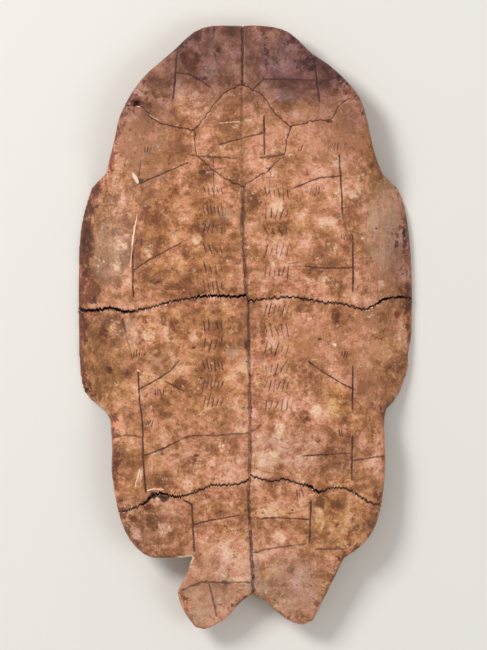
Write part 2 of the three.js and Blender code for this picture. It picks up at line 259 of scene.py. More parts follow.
# The nine bones of the plate, each planed, polished and worn. A fine skin is grown over each CAD
# solid, its facets are smoothed away, and then the sutures' teeth and the marks are cut.
skin_step = 0.55 * mm
broad_upright = 0.6  # a normal is at least this upright on the broad faces
face_upright = 0.45  # and at least this upright where marks are cut
facet_rounds = 90
edge_rings = 2  # how many rings of vertices by an edge are not smoothed
suture_reach = 2.5 * mm  # how far a vertex looks for the next bone
rim_upright = 0.5  # a normal is at most this upright on the rim
rim_band = 2 * mm  # how far down the rim reaches
rim_clear_of_open = 1.4 * mm
rim_clear_of_closed = 0.8 * mm
fewest_rim_vertices = 50
far_away = 1.0
open_kerf = 0.6 * mm  # the gap that the solids have at an open suture, and where one is worn
worn_kerf = 1.0 * mm
closed_kerf = 0.32 * mm
suture_hair = 0.06 * mm  # what shows of it where two bones interlock
thin_line = 0.2 * mm  # the black line along an open suture, at its thinnest and widest
wide_line = 0.85 * mm
line_depth = (0.9 * mm, 1.8 * mm)  # between these depths the line narrows to a hair
wall_slack = 0.4 * mm
tooth_pitch = 1.35 * mm
tooth_height = 0.55 * mm
tooth_fade = (1.8 * mm, 0.1 * mm)  # how far from the line the teeth begin and are whole
closed_waver = 0.3 * mm  # how far a closed suture strays to each side
closed_waver_length = 2.6 * mm
closed_waver_fade = (1.3 * mm, 0.1 * mm)
closed_waver_clear = (1.0 * mm, 2.2 * mm)  # it runs straight where it meets an open suture
closed_end = 140  # the front right suture has all but closed beyond this
open_sutures = [("hyoplastron", "hypoplastron"), ("hypoplastron", "xiphiplastron")]
worn_end = -150  # the middle suture is worn from here to the left rim
worn_fade = 10 * mm  # the wear fades in from there over this length
rear_part = -100  # the rear suture lies behind this, and the middle one in front
stretch_fade = 6
wide_stretches = {  # where the black line is wide
    "middle": [(-290, -186), (-84, 6), (218, 236), (250, 262)],
    "rear": [(-168, -134), (-126, -104), (100, 124)],
}
hollow_places = [  # across, along and the side on which the drilled pit lies
    (-116, 413, 1), (120, 406, -1), (32, 318, -1), (-177, 247, 1), (159, 241, -1),
    (-185, 98, 1), (178, 100, -1), (-175, -104, 1), (178, -101, -1), (-168, -217, 1),
    (177, -215, -1), (-86, -329, 1), (108, -321, -1),
]


def read(collection, name, width=3):
    values = np.empty(len(collection) * width)
    collection.foreach_get(name, values)
    return values.reshape(-1, width) if width > 1 else values


def store(mesh, name, values):
    layer = mesh.attributes.get(name) or mesh.attributes.new(name, "FLOAT", "POINT")
    layer.data.foreach_set("value", values.astype(np.float32))


def stored(mesh, name):
    return read(mesh.attributes[name].data, "value", 1)


def smoothstep(values, start, end):
    t = np.clip((values - start) / (end - start), 0, 1)
    return t * t * (3 - 2 * t)


def waves(x, y, size, seed):
    """A soft random field from -1 to 1, made of a few crossing waves."""
    dice = random.Random(seed)
    total = np.zeros_like(x)
    for i in range(7):
        turn = dice.uniform(0, math.tau)
        pace = math.tau / size * dice.uniform(0.6, 1.6)
        across_wave = x * math.cos(turn) + y * math.sin(turn)
        total += np.sin(pace * across_wave + dice.uniform(0, math.tau))
    return total / 4


def skin(node):
    """A copy of the node, its doubles merged, under a fine even skin."""
    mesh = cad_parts[node].data.copy()
    merged = bmesh.new()
    merged.from_mesh(mesh)
    bmesh.ops.remove_doubles(merged, verts=merged.verts, dist=0.001 * mm)
    merged.to_mesh(mesh)
    merged.free()
    rough = bpy.data.objects.new(node + "_skin", mesh)
    bpy.context.scene.collection.objects.link(rough)
    remesh = rough.modifiers.new("skin", "REMESH")
    remesh.mode = "VOXEL"
    remesh.voxel_size = skin_step
    depsgraph = bpy.context.evaluated_depsgraph_get()
    fine = bpy.data.meshes.new_from_object(rough.evaluated_get(depsgraph))
    bpy.data.objects.remove(rough)
    return fine


def smooth_facets(mesh):
    """Evens out the heights of the two broad faces, and leaves the rim and the sutures alone."""
    places = read(mesh.vertices, "co")
    edges = read(mesh.edges, "vertices", 2).astype(int)
    ends, others = np.concatenate([edges, edges[:, ::-1]]).T
    count = np.bincount(ends, minlength=len(places))
    broad = np.abs(read(mesh.vertices, "normal")[:, 2]) > broad_upright
    for ring in range(edge_rings):
        inner = broad.copy()
        inner[ends[~broad[others]]] = False
        broad = inner
    heights = places[:, 2]
    for i in range(facet_rounds):
        mean = np.bincount(ends, weights=heights[others], minlength=len(places)) / count
        heights[broad] = mean[broad]
    mesh.vertices.foreach_set("co", places.ravel())
    mesh.update()


def is_open(node, other):
    """Whether the suture between two bones has opened."""
    name, side = node.split("_") if "_" in node else (node, "")
    other_name, other_side = other.split("_") if "_" in other else (other, "")
    pairs = open_sutures + [pair[::-1] for pair in open_sutures]
    return side == other_side and (name, other_name) in pairs


def openings(node, places, across_open):
    """How far each vertex is from the bones across the open sutures, or across the closed."""
    corners, faces = [], []
    for other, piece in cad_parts.items():
        if other != node and is_open(node, other) == across_open:
            start = len(corners)
            corners += [vertex.co.copy() for vertex in piece.data.vertices]
            faces += [[start + i for i in face.vertices] for face in piece.data.polygons]
    distances = np.full(len(places), suture_reach)
    if faces:
        tree = BVHTree.FromPolygons(corners, faces)
        for i, place in enumerate(places):
            found = tree.find_nearest(Vector(place), suture_reach)
            if found[3] is not None:
                distances[i] = found[3]
    return distances


def flat_distance(places, targets):
    """For each place the nearest target as the plate is seen from above, and how far it is."""
    tree = KDTree(len(targets))
    for i, (x, y, z) in enumerate(targets):
        tree.insert((x, y, 0), i)
    tree.balance()
    found = [tree.find((x, y, 0)) for x, y, z in places]
    return np.array([hit[1] for hit in found]), np.array([hit[2] for hit in found])


def survey(mesh, node):
    """Stores each vertex's distance from both kinds of suture, the outer face and the rim."""
    places = read(mesh.vertices, "co")
    upright = read(mesh.vertices, "normal")[:, 2]
    open_gap = openings(node, places, True)
    closed_gap = openings(node, places, False)
    faces_up = upright > broad_upright
    below = np.zeros(len(places))
    above = places[faces_up]
    below[~faces_up] = above[flat_distance(places[~faces_up], above)[0], 2] - places[~faces_up, 2]
    rim = (np.abs(upright) < rim_upright) & (below < rim_band)
    rim &= (open_gap > rim_clear_of_open) & (closed_gap > rim_clear_of_closed)
    from_rim = np.full(len(places), far_away)
    if rim.sum() > fewest_rim_vertices:
        from_rim = flat_distance(places, places[rim])[1]
    store(mesh, "open_gap", open_gap)
    store(mesh, "closed_gap", closed_gap)
    store(mesh, "below", below)
    store(mesh, "from_rim", from_rim)


def kerf(places):
    """How wide the solids are apart along the open sutures."""
    x, y = places[:, :2].T
    start = worn_end * share
    worn = smoothstep(x, start, start - worn_fade) * (y / share > rear_part)
    return open_kerf + (worn_kerf - open_kerf) * worn


def line_width(places):
    """How wide the black line along an open suture shows."""
    across, along = places[:, :2].T / share
    wide = np.zeros(len(places))
    for suture, stretches in wide_stretches.items():
        here = (along > rear_part) == (suture == "middle")
        for start, end in stretches:
            inside = smoothstep(across, start - stretch_fade, start + stretch_fade)
            inside *= smoothstep(across, end + stretch_fade, end - stretch_fade)
            wide = np.maximum(wide, inside * here)
    ragged = 1 + 0.35 * waves(places[:, 0], places[:, 1] * 0, 2.4 * mm, seed=31)
    return (thin_line + (wide_line - thin_line) * wide) * ragged


def tooth_line(x):
    """How far the fine teeth of the open sutures stray along the plate."""
    still = 0 * x
    phase = x / tooth_pitch + 0.9 * waves(x, still, 7 * mm, seed=41)
    phase += 0.4 * waves(x, still, 3 * mm, seed=47)
    zigzag = 4 * np.abs(phase - np.floor(phase) - 0.5) - 1
    strength = 0.2 + 0.8 * smoothstep(waves(x, still, 5 * mm, seed=43), -0.7, 0.7)
    return zigzag * tooth_height * strength


def shape_sutures(mesh):
    """Gives the open sutures their teeth, and brings the walls of all sutures together."""
    places = read(mesh.vertices, "co")
    normals = read(mesh.vertices, "normal")
    open_gap, closed_gap = stored(mesh, "open_gap"), stored(mesh, "closed_gap")
    wall = smoothstep(np.abs(normals[:, 2]), 0.9, 0.5)
    deep = smoothstep(stored(mesh, "below"), *line_depth)
    shown = line_width(places) * (1 - deep) + suture_hair * deep
    move = 0.5 * (closed_gap - suture_hair) * (closed_gap < 2 * closed_kerf)
    beside_open = open_gap < kerf(places) + wall_slack
    move[beside_open] = 0.5 * (open_gap - shown)[beside_open]
    near = smoothstep(open_gap - kerf(places), *tooth_fade)
    near_closed = smoothstep(closed_gap - closed_kerf, *closed_waver_fade)
    near_closed *= smoothstep(open_gap, *closed_waver_clear)
    places += normals * (wall * move)[:, None]
    x, y = places[:, :2].T.copy()
    places[:, 0] += closed_waver * waves(x, y, closed_waver_length, seed=71) * near_closed
    places[:, 1] += closed_waver * waves(x, y, closed_waver_length, seed=73) * near_closed
    places[:, 1] += tooth_line(x) * near
    mesh.vertices.foreach_set("co", places.ravel())
    mesh.update()


def distance_along(points, places):
    """The distance of each place from a line of points, and how far from its ends it is."""
    nearest = np.full(len(places), np.inf)
    from_end = np.zeros(len(places))
    steps = np.diff(points, axis=0)
    lengths = np.linalg.norm(steps, axis=1)
    passed = 0.0
    for start, step, length in zip(points, steps, lengths):
        t = np.clip(((places - start) @ step) / length**2, 0, 1)
        away = np.linalg.norm(places - start - t[:, None] * step, axis=1)
        here = passed + t * length
        closer = away < nearest
        nearest = np.where(closer, away, nearest)
        from_end = np.where(closer, np.minimum(here, lengths.sum() - here), from_end)
        passed += length
    return nearest, from_end


wander_length = 5 * mm  # the length of a mark's bends, and of the swellings of its sides
uneven_length = 4 * mm
most_uneven = 0.6
taper_length = 0.9 * mm  # how far from its ends a mark is at its full depth
taper_share = 0.4  # or this share of its length, on a short one
cut_roundness = 0.8
soil_cover = (0.05, 0.5)  # how deep in a cut, as a share, soil begins and is thick


def cut_marks(places, faces_up, spread=0.0):
    """How deep each vertex is cut, and the soil and the chalk, partly painted highlight, that lie
    there.
    """
    cut, soil, chalk = np.zeros((3, len(places)))
    upper = np.flatnonzero(faces_up)
    flat = places[upper, :2]
    left, rear = flat.min(axis=0)
    right, front = flat.max(axis=0)
    for number, mark in enumerate(marks):
        points = mark.points * share
        half = 0.5 * mark.width * mm + spread
        margin = half + mark.wander * mm
        x_low, y_low = points.min(axis=0) - margin
        x_high, y_high = points.max(axis=0) + margin
        if x_high < left or x_low > right or y_high < rear or y_low > front:
            continue
        inside = (flat[:, 0] > x_low) & (flat[:, 0] < x_high)
        inside &= (flat[:, 1] > y_low) & (flat[:, 1] < y_high)
        near = upper[inside]
        if len(near):
            x, y = flat[inside].T
            bends = [waves(x, y, wander_length, number), waves(x, y, wander_length, number + 500)]
            shaken = flat[inside] + mark.wander * mm * 0.5 * np.column_stack(bends)
            away, from_end = distance_along(points, shaken)
            uneven = 1 + min(mark.wander, most_uneven) * waves(x, y, uneven_length, number + 900)
            whole = min(taper_length, taper_share * from_end.max())
            taper = smoothstep(from_end, -half, whole)
            shape = np.clip(1 - away / (half * uneven), 0, 1) * taper
            cut[near] = np.maximum(cut[near], shape**cut_roundness * mark.depth * mm)
            cover = smoothstep(shape, *soil_cover)
            soil[near] = np.maximum(soil[near], cover * mark.soil)
            chalk[near] = np.maximum(chalk[near], cover * mark.chalk)
    return cut, soil, chalk


def refine(mesh, wanted):
    """Cuts each edge in two whose ends are both wanted."""
    grown = bmesh.new()
    grown.from_mesh(mesh)
    grown.verts.ensure_lookup_table()
    chosen = [e for e in grown.edges if wanted[e.verts[0].index] and wanted[e.verts[1].index]]
    bmesh.ops.subdivide_edges(grown, edges=chosen, cuts=1)
    wide = [face for face in grown.faces if len(face.verts) > 3]
    bmesh.ops.triangulate(grown, faces=wide)
    grown.to_mesh(mesh)
    grown.free()


# Broad stains from handling, smoke and the ground, each a soft oval: its place across and along,
# its half width and half length, and its strength. The fresh bone of the broken corner is another.
broken_corner = [(-97, -380, 22, 12, 1.0)]
stains = {
    "shade": [  # a dark violet glaze
        (-45, 455, 140, 75, 0.8), (95, 440, 120, 85, 0.94), (190, 370, 50, 50, 0.5),
        (-160, 385, 50, 55, 0.5), (262, 120, 26, 80, 0.4),
    ],
    "brown": [  # a browner ground
        (-110, 60, 120, 260, 0.15), (-110, -100, 80, 90, 0.35), (-100, -330, 90, 50, 0.3),
        (-235, -60, 50, 90, 1.0), (150, -320, 60, 50, 0.2), (-256, 120, 30, 120, 0.8),
    ],
    "ochre": [  # a yellow glaze
        (165, -319, 80, 65, 0.8), (-232, -62, 50, 80, 1.0), (218, 269, 24, 75, 1.0),
        (-92, 144, 85, 100, 0.5), (-83, -62, 85, 100, 0.5), (60, 190, 70, 50, 0.3),
        (-180, -230, 70, 80, 0.5), (240, -60, 36, 70, 0.6), (-235, 150, 26, 60, 0.6),
        (-19, 425, 20, 16, 0.9), (92, 365, 28, 9, 0.9), (246, 170, 6, 18, 1.0),
        (132, -440, 12, 50, 0.9), (153, -120, 20, 32, 1.0), (-255, -20, 20, 40, 0.6),
        (42, -408, 17, 5, 0.7), (198, -147, 22, 26, 0.8), (52, 484, 14, 9, 1.0),
        (-85, 436, 10, 10, 0.7),
    ],
    "pale": [  # a lighter ground, and a painted sheen on the left wing
        (91, 186, 14, 12, 1.0), (157, 219, 20, 14, 0.9), (66, -154, 20, 14, 0.9),
        (57, -187, 16, 14, 0.8), (115, -137, 20, 14, 0.9), (-161, 128, 10, 14, 0.9),
        (-82, 148, 8, 10, 0.9), (-200, 10, 24, 40, 0.2), (140, 90, 90, 130, 0.35),
        (110, -90, 80, 90, 0.35), (0, -390, 60, 50, 0.4), (-232, 124, 27, 40, 0.25),
        (-210, -100, 15, 13, 0.8), (236, -48, 15, 14, 0.7), (-15, -132, 16, 24, 0.7),
        (10, 320, 60, 60, 0.4), (215, -20, 40, 70, 0.35), (188, 199, 16, 18, 0.9),
        (175, -106, 18, 18, 0.9), (195, 143, 14, 18, 0.9), (137, 125, 16, 16, 0.8),
        (192, 240, 14, 16, 0.9), (39, -334, 22, 14, 0.9), (-78, -99, 16, 14, 0.6),
        (-62, 173, 14, 14, 0.6),
    ],
    "dim": [  # darker in places
        (-165, 300, 50, 70, 0.65), (-262, 150, 26, 110, 1.0), (-232, 150, 34, 100, 0.9),
        (-240, -40, 40, 90, 1.0), (160, 310, 60, 60, 0.5), (-170, -330, 60, 50, 0.9),
        (90, -430, 70, 60, 0.9), (150, -320, 60, 50, 0.4), (90, -210, 90, 40, 0.6),
        (-150, -215, 60, 40, 0.3), (-60, -440, 50, 40, 0.3), (-138, -57, 24, 24, 0.8),
        (-60, 366, 44, 26, 0.5), (-141, 395, 26, 22, 0.6),
    ],
    "calm": [  # little mottling
        (-165, 300, 45, 60, 0.7), (155, 320, 60, 50, 0.6), (90, -425, 60, 60, 0.1),
        (-60, -440, 60, 40, 0.3), (200, -40, 50, 80, 0.5), (110, -25, 40, 36, 0.6),
        (0, 440, 150, 70, 0.1), (230, 120, 30, 110, 0.5), (-232, 124, 26, 40, 0.4),
        (10, 330, 50, 50, 0.3),
    ],
    "cream": [  # ragged light patches
        (33, -216, 27, 14, 1.0), (-8, -219, 8, 9, 1.0), (-32, -199, 15, 9, 0.8),
        (-97, -261, 10, 10, 0.9), (-135, -332, 16, 12, 0.8), (-180, -341, 12, 10, 0.7),
        (-35, -361, 10, 15, 0.9), (-29, -379, 18, 12, 0.8), (-47, -412, 15, 9, 0.9),
        (-11, -418, 18, 7, 0.8), (-41, -459, 6, 15, 0.8), (30, -308, 24, 7, 0.9),
        (57, -347, 11, 9, 1.0), (95, -287, 7, 10, 0.8), (172, -258, 8, 7, 1.0),
        (123, -317, 9, 20, 0.8), (166, -361, 15, 8, 0.8), (-174, -246, 6, 16, 0.6),
        (-205, 134, 13, 12, 1.0), (-212, 104, 6, 15, 0.9), (-193, 149, 10, 7, 0.9),
        (-212, 188, 13, 10, 0.6), (-200, 216, 15, 16, 0.4), (-216, -3, 15, 16, 0.6),
        (-185, -10, 7, 13, 0.9), (255, -17, 4, 6, 1.0), (180, 224, 13, 10, 1.0),
        (223, 71, 8, 13, 0.7), (52, 200, 12, 14, 1.0), (-81, 148, 10, 10, 0.9),
        (136, 176, 17, 8, 1.0), (-109, 172, 14, 14, 0.5), (-164, 123, 11, 13, 0.9),
        (-26, 106, 7, 9, 0.7), (-161, -14, 14, 11, 0.6), (-89, -17, 9, 7, 1.0),
        (117, -137, 8, 13, 1.0), (81, -132, 4, 8, 0.9), (56, -168, 10, 12, 1.0),
        (-26, -83, 7, 4, 0.9), (147, -30, 4, 4, 1.0), (-27, 159, 5, 5, 0.9),
        (62, 385, 20, 11, 0.9), (-56, 457, 5, 9, 0.9), (-60, 441, 24, 14, 0.6),
        (-18, 427, 12, 15, 0.7), (18, 425, 14, 20, 0.5), (74, 463, 12, 9, 0.8),
        (58, 446, 9, 10, 0.7), (45, 430, 8, 10, 0.6), (-108, 394, 10, 20, 0.6),
        (-80, 385, 10, 8, 0.6),
    ],
    "umber": [  # ragged dark patches
        (-135, -204, 12, 8, 0.6), (39, -262, 16, 8, 1.0), (42, -278, 14, 13, 0.9),
        (-26, -267, 8, 7, 0.9), (-153, -320, 12, 16, 1.0), (-141, -258, 9, 9, 0.8),
        (125, -290, 9, 12, 0.8), (154, -287, 18, 20, 0.7), (178, -332, 12, 18, 0.6),
        (75, -400, 7, 7, 0.8), (-50, -394, 9, 9, 0.8), (-35, -423, 9, 8, 0.8),
        (-260, 141, 13, 30, 0.8), (-252, 58, 14, 22, 0.8), (-245, 226, 10, 12, 0.8),
        (-227, 176, 8, 7, 0.8), (-210, 158, 13, 7, 1.0), (-205, 101, 6, 15, 0.9),
        (-210, 74, 10, 10, 0.9), (-235, -13, 10, 15, 0.8), (-226, -70, 6, 7, 0.9),
        (-194, -79, 8, 9, 0.8), (-202, 2, 5, 14, 1.0), (206, 109, 7, 4, 0.9),
        (193, 61, 10, 12, 0.8), (226, 22, 10, 5, 0.8), (221, -59, 4, 4, 1.0),
        (236, -67, 6, 5, 1.0), (246, -88, 6, 6, 0.8), (-150, 189, 27, 30, 0.5),
        (-98, 123, 6, 16, 0.9), (-147, 76, 14, 6, 1.0), (-122, 68, 16, 8, 0.8),
        (-161, 17, 12, 5, 1.0), (-135, 13, 6, 12, 1.0), (-48, 32, 12, 14, 1.0),
        (-122, -1, 6, 16, 0.8), (-77, -12, 6, 6, 1.0), (-128, -34, 24, 16, 0.7),
        (-95, -61, 22, 5, 0.7), (-7, -83, 11, 11, 0.8), (-109, -94, 16, 11, 0.7),
        (-128, -145, 8, 6, 1.0), (12, 207, 12, 26, 0.8), (64, 164, 16, 12, 0.8),
        (111, 90, 18, 11, 0.9), (150, 19, 9, 13, 0.9), (97, 32, 14, 8, 0.9),
        (95, -94, 18, 22, 0.7), (97, -149, 11, 11, 0.8), (29, -3, 6, 26, 0.8),
        (19, -391, 6, 16, 0.8), (-159, -298, 12, 7, 0.8), (-20, 60, 8, 8, 0.7),
        (-60, 250, 10, 7, 0.8), (-90, 441, 20, 18, 0.7), (-35, 408, 12, 12, 0.7),
        (120, 400, 30, 10, 0.6), (-140, -59, 20, 22, 1.0), (-222, 221, 18, 26, 0.7),
        (-141, 395, 24, 20, 0.9), (-180, -18, 15, 14, 0.8), (-75, 368, 18, 14, 0.6),
        (-96, -230, 22, 20, 0.7), (82, -207, 16, 12, 0.5), (-168, -84, 14, 14, 0.6),
        (-44, -238, 16, 14, 0.6), (44, 52, 14, 12, 0.6), (-113, 228, 5, 9, 1.0),
        (-184, -316, 7, 8, 0.8), (-112, -207, 14, 14, 0.5), (-125, -53, 12, 12, 0.4),
    ],
    "grey": [  # a grey veil, and a painted sheen on the left wing
        (231, 169, 30, 75, 0.8), (-225, 126, 32, 46, 0.6), (-60, -430, 60, 60, 0.5),
        (-190, -10, 14, 22, 0.5), (75, -430, 50, 50, 0.35), (234, 188, 13, 26, 0.8),
        (-29, 186, 11, 11, 0.6), (-21, -42, 11, 8, 0.7), (18, -391, 7, 16, 0.8),
        (3, -57, 7, 7, 0.7), (-108, 395, 12, 20, 0.4), (64, 383, 19, 10, 0.5),
        (-63, 419, 16, 10, 0.4), (60, 455, 8, 26, 0.4), (-56, 455, 5, 18, 0.5),
        (9, -410, 14, 44, 0.8), (-73, -478, 24, 18, 0.8), (24, -432, 18, 14, 0.7),
    ],
    "edge": [  # a redder rim, partly painted shade where the rim turns down
        (-262, 80, 50, 200, 1.0), (-200, 330, 60, 90, 0.8), (0, 480, 240, 60, 0.7),
        (262, 100, 50, 90, 0.6), (-220, -240, 40, 120, 0.6), (200, -400, 80, 120, 0.5),
    ],
    "rust": [  # red-brown spots
        (-235, -13, 10, 15, 0.9), (-226, -70, 7, 8, 0.7), (-217, -58, 4, 7, 0.7),
        (-194, -79, 8, 9, 0.7), (-250, 25, 14, 9, 0.7), (-115, 229, 4, 6, 0.7),
        (-260, 141, 12, 34, 0.9), (150, 19, 9, 11, 0.7), (251, 21, 6, 8, 0.9),
        (-159, -296, 10, 7, 0.8), (-260, 84, 12, 14, 0.8), (180, 390, 26, 14, 0.6),
        (-190, -90, 8, 10, 0.5), (-90, 441, 22, 18, 0.8), (110, 452, 30, 10, 0.6),
        (-119, 219, 4, 6, 0.7), (-190, -314, 4, 5, 1.0), (-172, -308, 6, 6, 0.8),
    ],
    "plum": [  # purple spots
        (-263, -104, 5, 5, 1.0), (-252, 46, 9, 9, 0.7), (-267, 186, 8, 16, 0.8),
        (-263, -23, 3, 5, 0.7), (264, 148, 5, 18, 1.0), (251, 137, 4, 10, 0.8),
        (264, 92, 11, 16, 0.6), (3, -28, 6, 9, 0.8), (-48, 458, 8, 20, 0.7), (35, 450, 5, 34, 0.8),
        (100, 436, 26, 16, 0.7), (-5, 450, 5, 40, 0.5), (-70, 412, 18, 5, 0.7),
        (160, 400, 14, 30, 0.6), (-147, 76, 12, 5, 0.5), (97, -149, 10, 10, 0.6),
        (-96, 480, 20, 10, 0.5), (240, 300, 8, 40, 0.5),
    ],
}


def oval_cover(places, ovals):
    cover = np.zeros(len(places))
    for across, along, half_width, half_length, strength in ovals:
        away = (places[:, :2] / share - (across, along)) / (half_width, half_length)
        cover = np.maximum(cover, strength * smoothstep(np.linalg.norm(away, axis=1), 1.5, 0.4))
    return cover


gap_shade_reach = (0.12 * mm, 0)  # how far the painted black shade of an open suture's gap spreads over its edges
soil_reach = (0.5 * mm, 0.05 * mm)
closed_soil_reach = (0.26 * mm, 0)
closed_end_fade = 15
front_part = 250  # the front sutures lie before this
fleck_and_highlight_outer = (0.55 * mm, 0.35 * mm)  # pale chips, partly painted highlight on the suture's edges, lie between these distances from an open suture
fleck_and_highlight_inner = (0.1 * mm, 0.25 * mm)
fresh_reach = (1.1 * mm, 0.3 * mm)
# how far in the redder rim reaches, partly painted shade where the plate turns down
rim_stain_and_shade_reach = (6.5 * mm, 0)
scorch_shift = 6  # from the middle of the slot towards its drilled pit
scorch_size = (7.5 * mm, 8.5 * mm)


def scorched(places):
    """How burnt each vertex is by the hollows of the inner face."""
    scorch = np.zeros(len(places))
    for across, along, side in hollow_places:
        middle = np.array([across + scorch_shift * side, along]) * share
        reach = np.linalg.norm((places[:, :2] - middle) / scorch_size, axis=1)
        scorch = np.maximum(scorch, smoothstep(reach, 1.0, 0.3))
    return scorch


def paint(mesh, soil, chalk):
    """Stores where soil, chalk and painted highlight, the painted shade of the open sutures and of
    the rim, soot and the broad stains lie, for the material.
    """
    places = read(mesh.vertices, "co")
    upright = read(mesh.vertices, "normal")[:, 2]
    x, y = places[:, :2].T
    from_edge = stored(mesh, "open_gap") - kerf(places)
    # painted shade: the walls and edges of an open suture's gap are painted near-black
    painted_gap_shade = smoothstep(from_edge, *gap_shade_reach)
    soil = np.maximum(soil, 0.7 * smoothstep(from_edge, *soil_reach))
    closed = smoothstep(stored(mesh, "closed_gap") - closed_kerf, *closed_soil_reach)
    closed *= 0.6 + 0.25 * waves(x, y, 5 * mm, seed=79)
    healed = smoothstep(x / share, closed_end, closed_end + closed_end_fade)
    healed *= y / share > front_part
    soil = np.maximum(soil, np.clip(closed, 0, 1) * (1 - 0.8 * healed))
    # pale flecks by the open sutures: chipped bone, and partly painted highlight on the edges
    chip_and_highlight_noise = waves(x, y, 1.3 * mm, seed=61) + 0.5 * waves(x, y, 12 * mm, seed=67)
    chips_and_highlights_here = smoothstep(from_edge, *fleck_and_highlight_outer) * smoothstep(from_edge, *fleck_and_highlight_inner)
    flecks_and_highlights = smoothstep(chip_and_highlight_noise, 0.7, 1.0) * chips_and_highlights_here
    from_rim = stored(mesh, "from_rim")
    fresh = oval_cover(places, broken_corner) * smoothstep(from_rim, *fresh_reach)
    store(mesh, "gap", painted_gap_shade)
    store(mesh, "soil", soil)
    store(mesh, "chalk", np.maximum(np.maximum(chalk, flecks_and_highlights), 0.62 * fresh))
    store(mesh, "rim", smoothstep(from_rim, *rim_stain_and_shade_reach))
    store(mesh, "inner", smoothstep(-upright, 0.2, 0.7))
    store(mesh, "scorch", scorched(places) * (upright < 0.3))
    for name, ovals in stains.items():
        store(mesh, name, oval_cover(places, ovals) * (upright > 0))


refine_reaches = (0.6 * mm, 0.25 * mm)  # how far about each mark the mesh is made finer
bite_reach = (0.35 * mm, 0)  # how far from an open suture its edges have crumbled, and how deep
bite_depth = 0.2 * mm
closed_edge_reach = (0.3 * mm, 0)
closed_edge_depth = 0.12 * mm
swell_height = 0.12 * mm  # how uneven the polished face is


def bone(node):
    """The mesh of one bone, with its marks cut and its stains stored."""
    mesh = skin(node)
    smooth_facets(mesh)
    survey(mesh, node)
    for spread in refine_reaches:
        places = read(mesh.vertices, "co")
        faces_up = read(mesh.vertices, "normal")[:, 2] > face_upright
        from_open = stored(mesh, "open_gap") - kerf(places)
        from_closed = stored(mesh, "closed_gap") - closed_kerf
        beside = (from_open < 2.5 * spread) | (from_closed < spread)
        beside &= stored(mesh, "below") < 1.5 * spread
        refine(mesh, (cut_marks(places, faces_up, spread)[0] > 0) | beside)
    shape_sutures(mesh)

    places = read(mesh.vertices, "co")
    normals = read(mesh.vertices, "normal")
    faces_up = normals[:, 2] > face_upright
    x, y = places[:, :2].T
    cut, soil, chalk = cut_marks(places, faces_up)
    from_open = stored(mesh, "open_gap") - kerf(places)
    from_closed = stored(mesh, "closed_gap") - closed_kerf
    bites = 0.6 + 0.5 * waves(x, y, 1.6 * mm, seed=11)
    cut += smoothstep(from_open, *bite_reach) * bites * bite_depth * faces_up
    cut += smoothstep(from_closed, *closed_edge_reach) * closed_edge_depth * faces_up
    level = smoothstep(normals[:, 2], face_upright, 0.9)
    cut -= swell_height * waves(x, y, 26 * mm, seed=3) * level
    places -= normals * cut[:, None]
    places[:, 2] = np.maximum(places[:, 2], 0)
    mesh.vertices.foreach_set("co", places.ravel())
    paint(mesh, soil, chalk)
    for face in mesh.polygons:
        face.use_smooth = True
    mesh.update()
    return mesh


# Aged bone, the one material of the plate: a pinkish tan ground with ochre and brown mottling,
# cream and plum patches, dark soil in every groove, and the soft gloss of old polish.
class Field:
    """A shader socket. Sums on it add Math nodes, and add() adds any other node."""

    def __init__(self, tree, socket):
        self.tree = tree
        self.socket = socket

    def add(self, kind, settings=None, inputs=None, output=0):
        node = self.tree.nodes.new(kind)
        for name, value in (settings or {}).items():
            setattr(node, name, value)
        for name, value in (inputs or {}).items():
            if isinstance(value, Field):
                self.tree.links.new(value.socket, node.inputs[name])
            else:
                node.inputs[name].default_value = value
        return Field(self.tree, node.outputs[output] if node.outputs else None)

    def math(self, operation, first, second):
        return self.add("ShaderNodeMath", {"operation": operation}, {0: first, 1: second})

    def __add__(self, other):
        return self.math("ADD", self, other)

    def __sub__(self, other):
        return self.math("SUBTRACT", self, other)

    def __mul__(self, other):
        return self.math("MULTIPLY", self, other)

    def __rsub__(self, other):
        return self.math("SUBTRACT", other, self)

    __radd__ = __add__
    __rmul__ = __mul__

    def rise(self, start, end):
        """0 below start, 1 above end, and smooth between them."""
        settings = {"interpolation_type": "SMOOTHSTEP"}
        limits = {"Value": self, "From Min": start, "From Max": end}
        return self.add("ShaderNodeMapRange", settings, limits)

    def noise(self, size, detail, roughness, stretch=(1, 1, 1), shift=0.0):
        """Noise whose blots are about size millimetres across."""
        scale = [1 / (size * mm * part) for part in stretch]
        moved = {"Vector": self, "Location": (shift, shift, shift), "Scale": scale}
        vector = self.add("ShaderNodeMapping", inputs=moved)
        grain = {"Vector": vector, "Scale": 1.0, "Detail": detail, "Roughness": roughness}
        return self.add("ShaderNodeTexNoise", inputs=grain)

    def between(self, under, over, blend="MIX"):
        """One colour laid over another, or blended with it, where this mask is 1."""
        settings = {"data_type": "RGBA", "blend_type": blend, "clamp_factor": True}
        return self.add("ShaderNodeMix", settings, {0: self, 6: under, 7: over}, 2)


def display(red, green, blue):
    """A colour as a screen shows it, from 0 to 255, as linear light."""
    parts = [value / 255 for value in (red, green, blue)]
    return [*(((v + 0.055) / 1.055) ** 2.4 if v > 0.04045 else v / 12.92 for v in parts), 1.0]


umber = display(124, 70, 36)
brown = display(156, 99, 60)
tan = display(184, 124, 86)
rose_tan = display(214, 150, 117)
pale_rose = display(234, 182, 154)
cream = display(242, 208, 172)
spot_brown = display(126, 68, 38)
brick_glaze = display(198, 142, 106)
rim_stain_and_shade_glaze = display(160, 102, 94)
plum_glaze = display(140, 106, 150)
soil_brown = display(70, 40, 34)
gap_black = display(34, 20, 15)
soot = display(26, 18, 14)
chalk_white = display(236, 208, 182)
lilac_grey = display(204, 168, 142)
inner_tan = display(178, 142, 104)
ochre_glaze = display(246, 243, 202)
rose_glaze = display(255, 240, 242)
shade_glaze = display(138, 126, 158)
dim_glaze = display(226, 231, 237)


